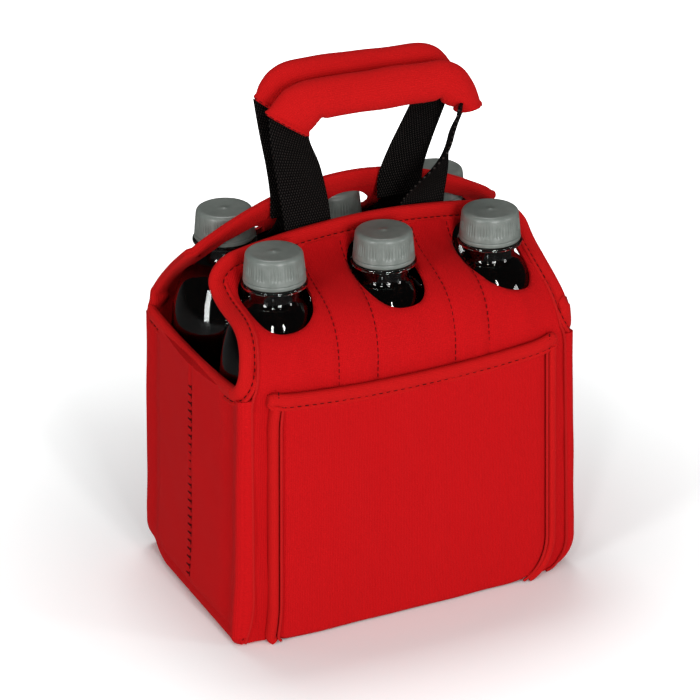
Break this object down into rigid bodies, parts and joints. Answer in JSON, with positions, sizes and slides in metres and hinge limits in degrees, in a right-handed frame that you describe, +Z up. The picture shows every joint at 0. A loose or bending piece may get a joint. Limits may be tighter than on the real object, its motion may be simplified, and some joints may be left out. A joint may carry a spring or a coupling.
{
  "type": "six pack carrier",
  "caption": "Soft padded carrier with fold-in flaps round the bottle necks, a front pocket and paired webbing handles with rolled grips, holding capped bottles.",
  "frame": {"origin": "middle of the base, on the surface it rests on", "axes": "+X to the right along the front, +Y to the back, +Z up; the pocket faces -Y"},
  "size_m": [0.1936, 0.1359, 0.2787],
  "materials": {
    "red_neoprene": "nylon-faced neoprene, fine jersey knit, matt",
    "red_neoprene_roll": "the same cloth folded over an edge and stitched",
    "red_piping": "thin corded seam in the same cloth",
    "base_board": "plain stiff board",
    "black_lining": "thin neoprene, matt",
    "black_webbing": "woven polypropylene webbing",
    "clear_bottle": "clear moulded bottle plastic, glossy",
    "dark_drink": "dark drink, all but black",
    "grey_closure": "moulded plastic, satin, fine ribs",
    "white_seal": "thin soft disc"
  },
  "bodies": {
    "carrier": {"front_panel": "red_neoprene", "back_panel": "red_neoprene", "end_and_base_strip": "red_neoprene", "base_board": "base_board", "partition": "black_lining", "front_flap_binding": "red_neoprene_roll", "back_flap_binding": "red_neoprene_roll", "left_end_binding": "red_neoprene_roll", "right_end_binding": "red_neoprene_roll", "front_seam_piping": "red_piping", "back_seam_piping": "red_piping", "pocket_face": "red_neoprene", "pocket_edge_roll": "red_neoprene_roll", "pocket_hem": "red_neoprene_roll", "pocket_piping": "red_piping", "front_strap_tails": "black_webbing", "back_strap_tails": "black_webbing", "bottle_1": "clear_bottle", "bottle_2": "clear_bottle", "bottle_3": "clear_bottle", "bottle_4": "clear_bottle", "bottle_5": "clear_bottle", "bottle_6": "clear_bottle", "drink_1": "dark_drink", "drink_2": "dark_drink", "drink_3": "dark_drink", "drink_4": "dark_drink", "drink_5": "dark_drink", "drink_6": "dark_drink", "tamper_band_1": "grey_closure", "tamper_band_2": "grey_closure", "tamper_band_3": "grey_closure", "tamper_band_4": "grey_closure", "tamper_band_5": "grey_closure", "tamper_band_6": "grey_closure"},
    "front_handle": {"front_handle_webbing": "black_webbing", "front_grip": "red_neoprene_roll"},
    "back_handle": {"back_handle_webbing": "black_webbing", "back_grip": "red_neoprene_roll"},
    "cap_lift_1": {"cap_seal_1": "white_seal"},
    "cap_turn_1": {"cap_1": "grey_closure"},
    "cap_lift_2": {"cap_seal_2": "white_seal"},
    "cap_turn_2": {"cap_2": "grey_closure"},
    "cap_lift_3": {"cap_seal_3": "white_seal"},
    "cap_turn_3": {"cap_3": "grey_closure"},
    "cap_lift_4": {"cap_seal_4": "white_seal"},
    "cap_turn_4": {"cap_4": "grey_closure"},
    "cap_lift_5": {"cap_seal_5": "white_seal"},
    "cap_turn_5": {"cap_5": "grey_closure"},
    "cap_lift_6": {"cap_seal_6": "white_seal"},
    "cap_turn_6": {"cap_6": "grey_closure"}
  },
  "joints": [
    {"name": "front_handle_fold", "type": "hinge", "parent": "carrier", "child": "front_handle", "pos_m": [0, -0.0073, 0.20209], "axis": [1, 0, 0], "range_deg": [0, 75]},
    {"name": "back_handle_fold", "type": "hinge", "parent": "carrier", "child": "back_handle", "pos_m": [0, 0.0073, 0.21538], "axis": [-1, 0, 0], "range_deg": [0, 90]},
    {"name": "cap_1_rise", "type": "slide", "parent": "carrier", "child": "cap_lift_1", "axis": [0, 0, 1], "range_m": [0, 0.005]},
    {"name": "cap_1_turn", "type": "hinge", "parent": "cap_lift_1", "child": "cap_turn_1", "pos_m": [-0.0596, -0.0305, 0.19], "axis": [0, 0, 1], "range_deg": [0, 650]},
    {"name": "cap_2_rise", "type": "slide", "parent": "carrier", "child": "cap_lift_2", "axis": [0, 0, 1], "range_m": [0, 0.005]},
    {"name": "cap_2_turn", "type": "hinge", "parent": "cap_lift_2", "child": "cap_turn_2", "pos_m": [0, -0.0305, 0.19], "axis": [0, 0, 1], "range_deg": [0, 650]},
    {"name": "cap_3_rise", "type": "slide", "parent": "carrier", "child": "cap_lift_3", "axis": [0, 0, 1], "range_m": [0, 0.005]},
    {"name": "cap_3_turn", "type": "hinge", "parent": "cap_lift_3", "child": "cap_turn_3", "pos_m": [0.0596, -0.0305, 0.19], "axis": [0, 0, 1], "range_deg": [0, 650]},
    {"name": "cap_4_rise", "type": "slide", "parent": "carrier", "child": "cap_lift_4", "axis": [0, 0, 1], "range_m": [0, 0.005]},
    {"name": "cap_4_turn", "type": "hinge", "parent": "cap_lift_4", "child": "cap_turn_4", "pos_m": [-0.0596, 0.0305, 0.19], "axis": [0, 0, 1], "range_deg": [0, 650]},
    {"name": "cap_5_rise", "type": "slide", "parent": "carrier", "child": "cap_lift_5", "axis": [0, 0, 1], "range_m": [0, 0.005]},
    {"name": "cap_5_turn", "type": "hinge", "parent": "cap_lift_5", "child": "cap_turn_5", "pos_m": [0, 0.0305, 0.19], "axis": [0, 0, 1], "range_deg": [0, 650]},
    {"name": "cap_6_rise", "type": "slide", "parent": "carrier", "child": "cap_lift_6", "axis": [0, 0, 1], "range_m": [0, 0.005]},
    {"name": "cap_6_turn", "type": "hinge", "parent": "cap_lift_6", "child": "cap_turn_6", "pos_m": [0.0596, 0.0305, 0.19], "axis": [0, 0, 1], "range_deg": [0, 650]}
  ],
  "couplings": [
    {"joint": "cap_1_rise", "follows": "cap_1_turn", "m_per_rad": 0.00042972},
    {"joint": "cap_2_rise", "follows": "cap_2_turn", "m_per_rad": 0.00042972},
    {"joint": "cap_3_rise", "follows": "cap_3_turn", "m_per_rad": 0.00042972},
    {"joint": "cap_4_rise", "follows": "cap_4_turn", "m_per_rad": 0.00042972},
    {"joint": "cap_5_rise", "follows": "cap_5_turn", "m_per_rad": 0.00042972},
    {"joint": "cap_6_rise", "follows": "cap_6_turn", "m_per_rad": 0.00042972}
  ]
}
